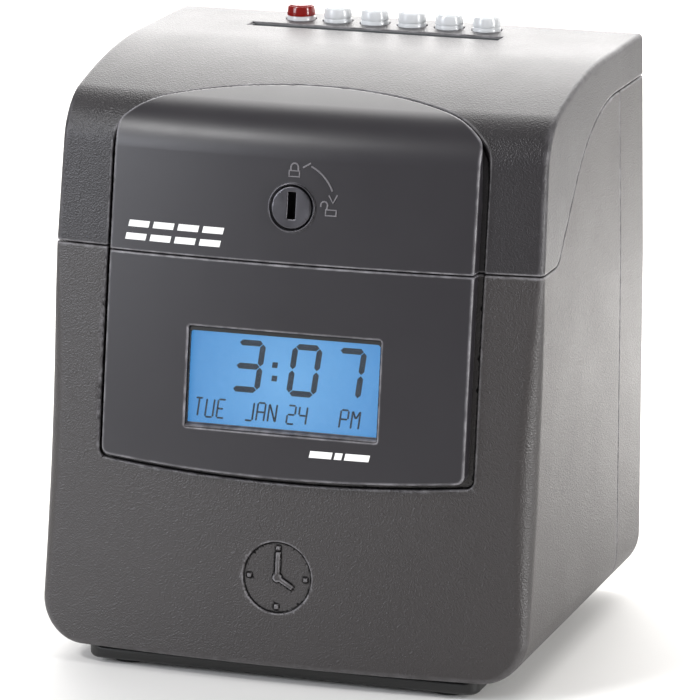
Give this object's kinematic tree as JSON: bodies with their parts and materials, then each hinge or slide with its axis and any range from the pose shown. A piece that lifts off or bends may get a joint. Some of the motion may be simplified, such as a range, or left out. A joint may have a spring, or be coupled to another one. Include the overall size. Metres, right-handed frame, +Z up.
{
  "type": "punch time clock",
  "caption": "Punch time clock: grey plastic case with a hinged locking cover, lit blue display, raised fascia, card slot, push buttons and a card printing mechanism inside.",
  "frame": {"origin": "middle of the footprint, on the surface that the rubber feet rest on", "axes": "+X to the right seen from the front, +Y to the back, +Z up"},
  "size_m": [0.2, 0.174, 0.24],
  "materials": {
    "case_plastic": "fine textured",
    "panel_plastic": "fine satin texture",
    "black_plastic": "satin",
    "rubber": "matte",
    "steel": "satin",
    "lock_metal": "satin black, worn edges",
    "window": "clear",
    "lcd": "lit blue",
    "diffuser": "satin",
    "board": "solder mask",
    "ribbon": "inked",
    "white_plastic": "satin",
    "brass": "satin",
    "red_cap": "clear red, lit",
    "clear_cap": "clear, slightly frosted"
  },
  "bodies": {
    "root": {"front_housing": "case_plastic", "rear_housing": "case_plastic", "base_plate": "black_plastic", "rubber_feet": "rubber", "base_screws": "steel", "display_fascia": "panel_plastic", "display_bezel": "panel_plastic", "display_window": "window", "lcd_panel": "lcd", "display_backlight": "diffuser", "display_board": "board", "hinge_pins": "steel", "frame_left": "steel", "frame_right": "steel", "frame_screws": "steel", "card_guide_front": "steel", "card_guide_rear": "steel", "card_stop": "black_plastic", "carriage_rod": "steel", "motor_plate": "steel", "carriage_motor": "steel", "carriage_belt": "rubber", "ribbon_cartridge": "black_plastic", "ink_ribbon": "ribbon", "feed_motor": "steel", "main_board": "board", "coin_cell": "steel", "power_inlet": "black_plastic"},
    "cover": {"top_cover": "case_plastic", "cover_fascia": "panel_plastic", "slot_liner": "black_plastic", "lock_barrel": "lock_metal", "lock_nut": "lock_metal", "button_board": "board", "button_switches": "black_plastic", "button_lamp": "red_cap", "board_screws": "steel"},
    "lock": {"lock_plug": "lock_metal", "lock_cam": "steel", "lock_screw": "steel"},
    "button_1": {"button_1": "red_cap"},
    "button_2": {"button_2": "clear_cap"},
    "button_3": {"button_3": "clear_cap"},
    "button_4": {"button_4": "clear_cap"},
    "button_5": {"button_5": "clear_cap"},
    "button_6": {"button_6": "clear_cap"},
    "carriage": {"print_carriage": "black_plastic", "print_head": "steel"},
    "drive_wheel": {"drive_pulley": "steel"},
    "idler_wheel": {"idler_pulley": "steel"},
    "feed": {"feed_shaft": "steel", "feed_roller": "rubber", "feed_gear": "white_plastic"},
    "pinion": {"feed_pinion": "brass"},
    "pinch": {"pinch_roller": "rubber"},
    "knob": {"ribbon_knob": "white_plastic"}
  },
  "joints": [
    {"name": "cover_hinge", "type": "hinge", "parent": "root", "child": "cover", "pos_m": [0, 0.084, 0.21725], "axis": [-1, 0, 0], "range_deg": [0, 75]},
    {"name": "lock_turn", "type": "hinge", "parent": "cover", "child": "lock", "pos_m": [0.0008, -0.0662, 0.1868], "axis": [0, 0.9857, -0.1686], "range_deg": [0, 90]},
    {"name": "button_1_press", "type": "slide", "parent": "cover", "child": "button_1", "axis": [0, 0, -1], "range_m": [0, 0.0015], "stiffness_N_per_m": 300, "springref_m": -0.001},
    {"name": "button_2_press", "type": "slide", "parent": "cover", "child": "button_2", "axis": [0, 0, -1], "range_m": [0, 0.0015], "stiffness_N_per_m": 300, "springref_m": -0.001},
    {"name": "button_3_press", "type": "slide", "parent": "cover", "child": "button_3", "axis": [0, 0, -1], "range_m": [0, 0.0015], "stiffness_N_per_m": 300, "springref_m": -0.001},
    {"name": "button_4_press", "type": "slide", "parent": "cover", "child": "button_4", "axis": [0, 0, -1], "range_m": [0, 0.0015], "stiffness_N_per_m": 300, "springref_m": -0.001},
    {"name": "button_5_press", "type": "slide", "parent": "cover", "child": "button_5", "axis": [0, 0, -1], "range_m": [0, 0.0015], "stiffness_N_per_m": 300, "springref_m": -0.001},
    {"name": "button_6_press", "type": "slide", "parent": "cover", "child": "button_6", "axis": [0, 0, -1], "range_m": [0, 0.0015], "stiffness_N_per_m": 300, "springref_m": -0.001},
    {"name": "carriage_slide", "type": "slide", "parent": "root", "child": "carriage", "axis": [1, 0, 0], "range_m": [-0.03, 0.03]},
    {"name": "drive_spin", "type": "hinge", "parent": "root", "child": "drive_wheel", "pos_m": [-0.0555, 0.016, 0.174], "axis": [0, 1, 0], "range_deg": [-290, 290]},
    {"name": "idler_spin", "type": "hinge", "parent": "root", "child": "idler_wheel", "pos_m": [0.0445, 0.016, 0.174], "axis": [0, 1, 0], "range_deg": [-290, 290]},
    {"name": "feed_spin", "type": "hinge", "parent": "root", "child": "feed", "pos_m": [0, 0.045, 0.112], "axis": [1, 0, 0], "continuous": true},
    {"name": "pinion_spin", "type": "hinge", "parent": "root", "child": "pinion", "pos_m": [0, 0.02107, 0.10184], "axis": [1, 0, 0], "continuous": true},
    {"name": "pinch_spin", "type": "hinge", "parent": "root", "child": "pinch", "pos_m": [0, 0.0592, 0.112], "axis": [1, 0, 0], "continuous": true},
    {"name": "knob_turn", "type": "hinge", "parent": "root", "child": "knob", "pos_m": [0.0345, 0.028, 0.2134], "axis": [0, 0, 1], "continuous": true}
  ],
  "couplings": [
    {"joint": "drive_spin", "follows": "carriage_slide", "rad_per_m": 166.67},
    {"joint": "idler_spin", "follows": "carriage_slide", "rad_per_m": 166.67},
    {"joint": "pinion_spin", "follows": "feed_spin", "ratio": -3.3333},
    {"joint": "pinch_spin", "follows": "feed_spin", "ratio": -1.4286}
  ]
}
